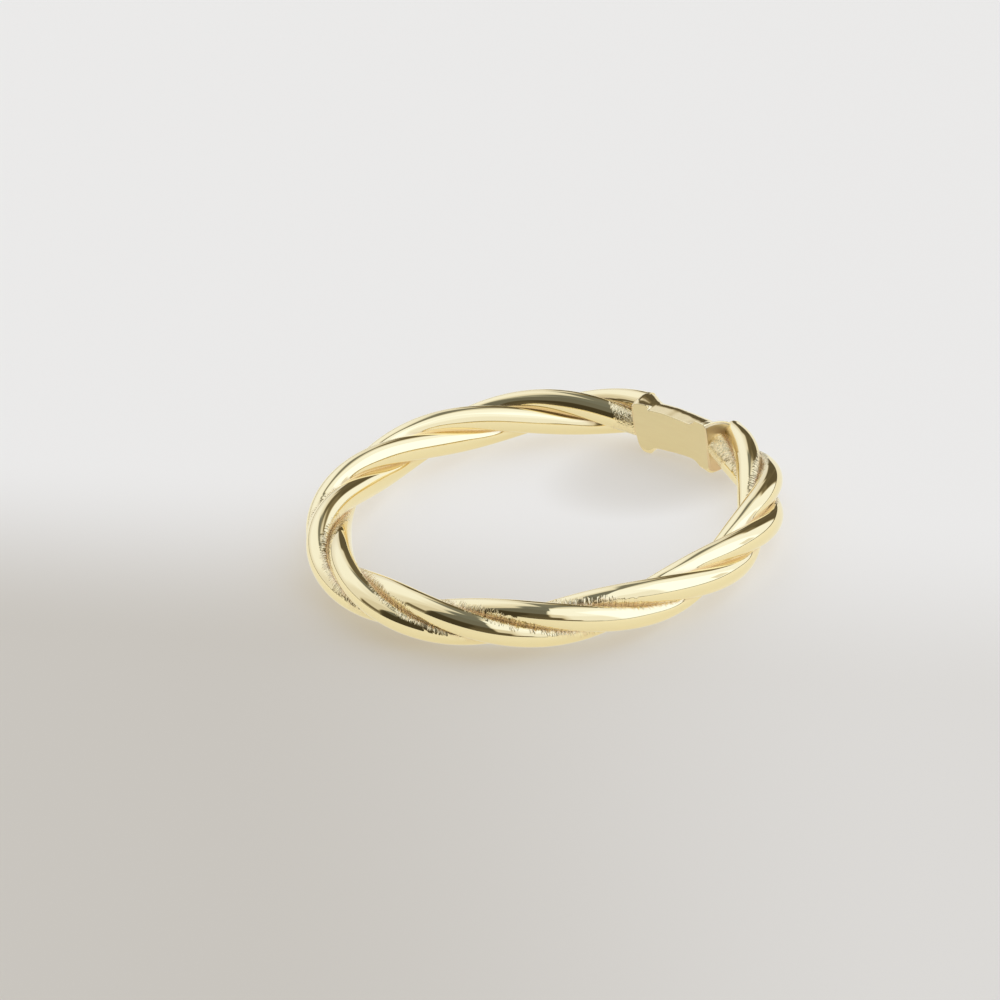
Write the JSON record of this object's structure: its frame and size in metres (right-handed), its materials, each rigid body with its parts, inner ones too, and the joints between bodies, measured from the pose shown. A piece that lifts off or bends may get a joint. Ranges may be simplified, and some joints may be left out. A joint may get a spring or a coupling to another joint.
{
  "type": "rope twist ring",
  "caption": "Plain finger ring of strands twisted into a rope, closed by a short waisted bar with a flat inner face.",
  "frame": {"origin": "on the axis of the finger hole, in the plane the ring lies on", "axes": "+Z along the finger hole's axis, up as the ring lies flat; +Y from the axis to the middle of the bar; +X to the right of that, seen from above"},
  "size_m": [0.0216, 0.0212, 0.0027],
  "materials": {
    "gold": "high polish, pale yellow gold"
  },
  "bodies": {
    "root": {"ring": "gold"}
  },
  "joints": []
}
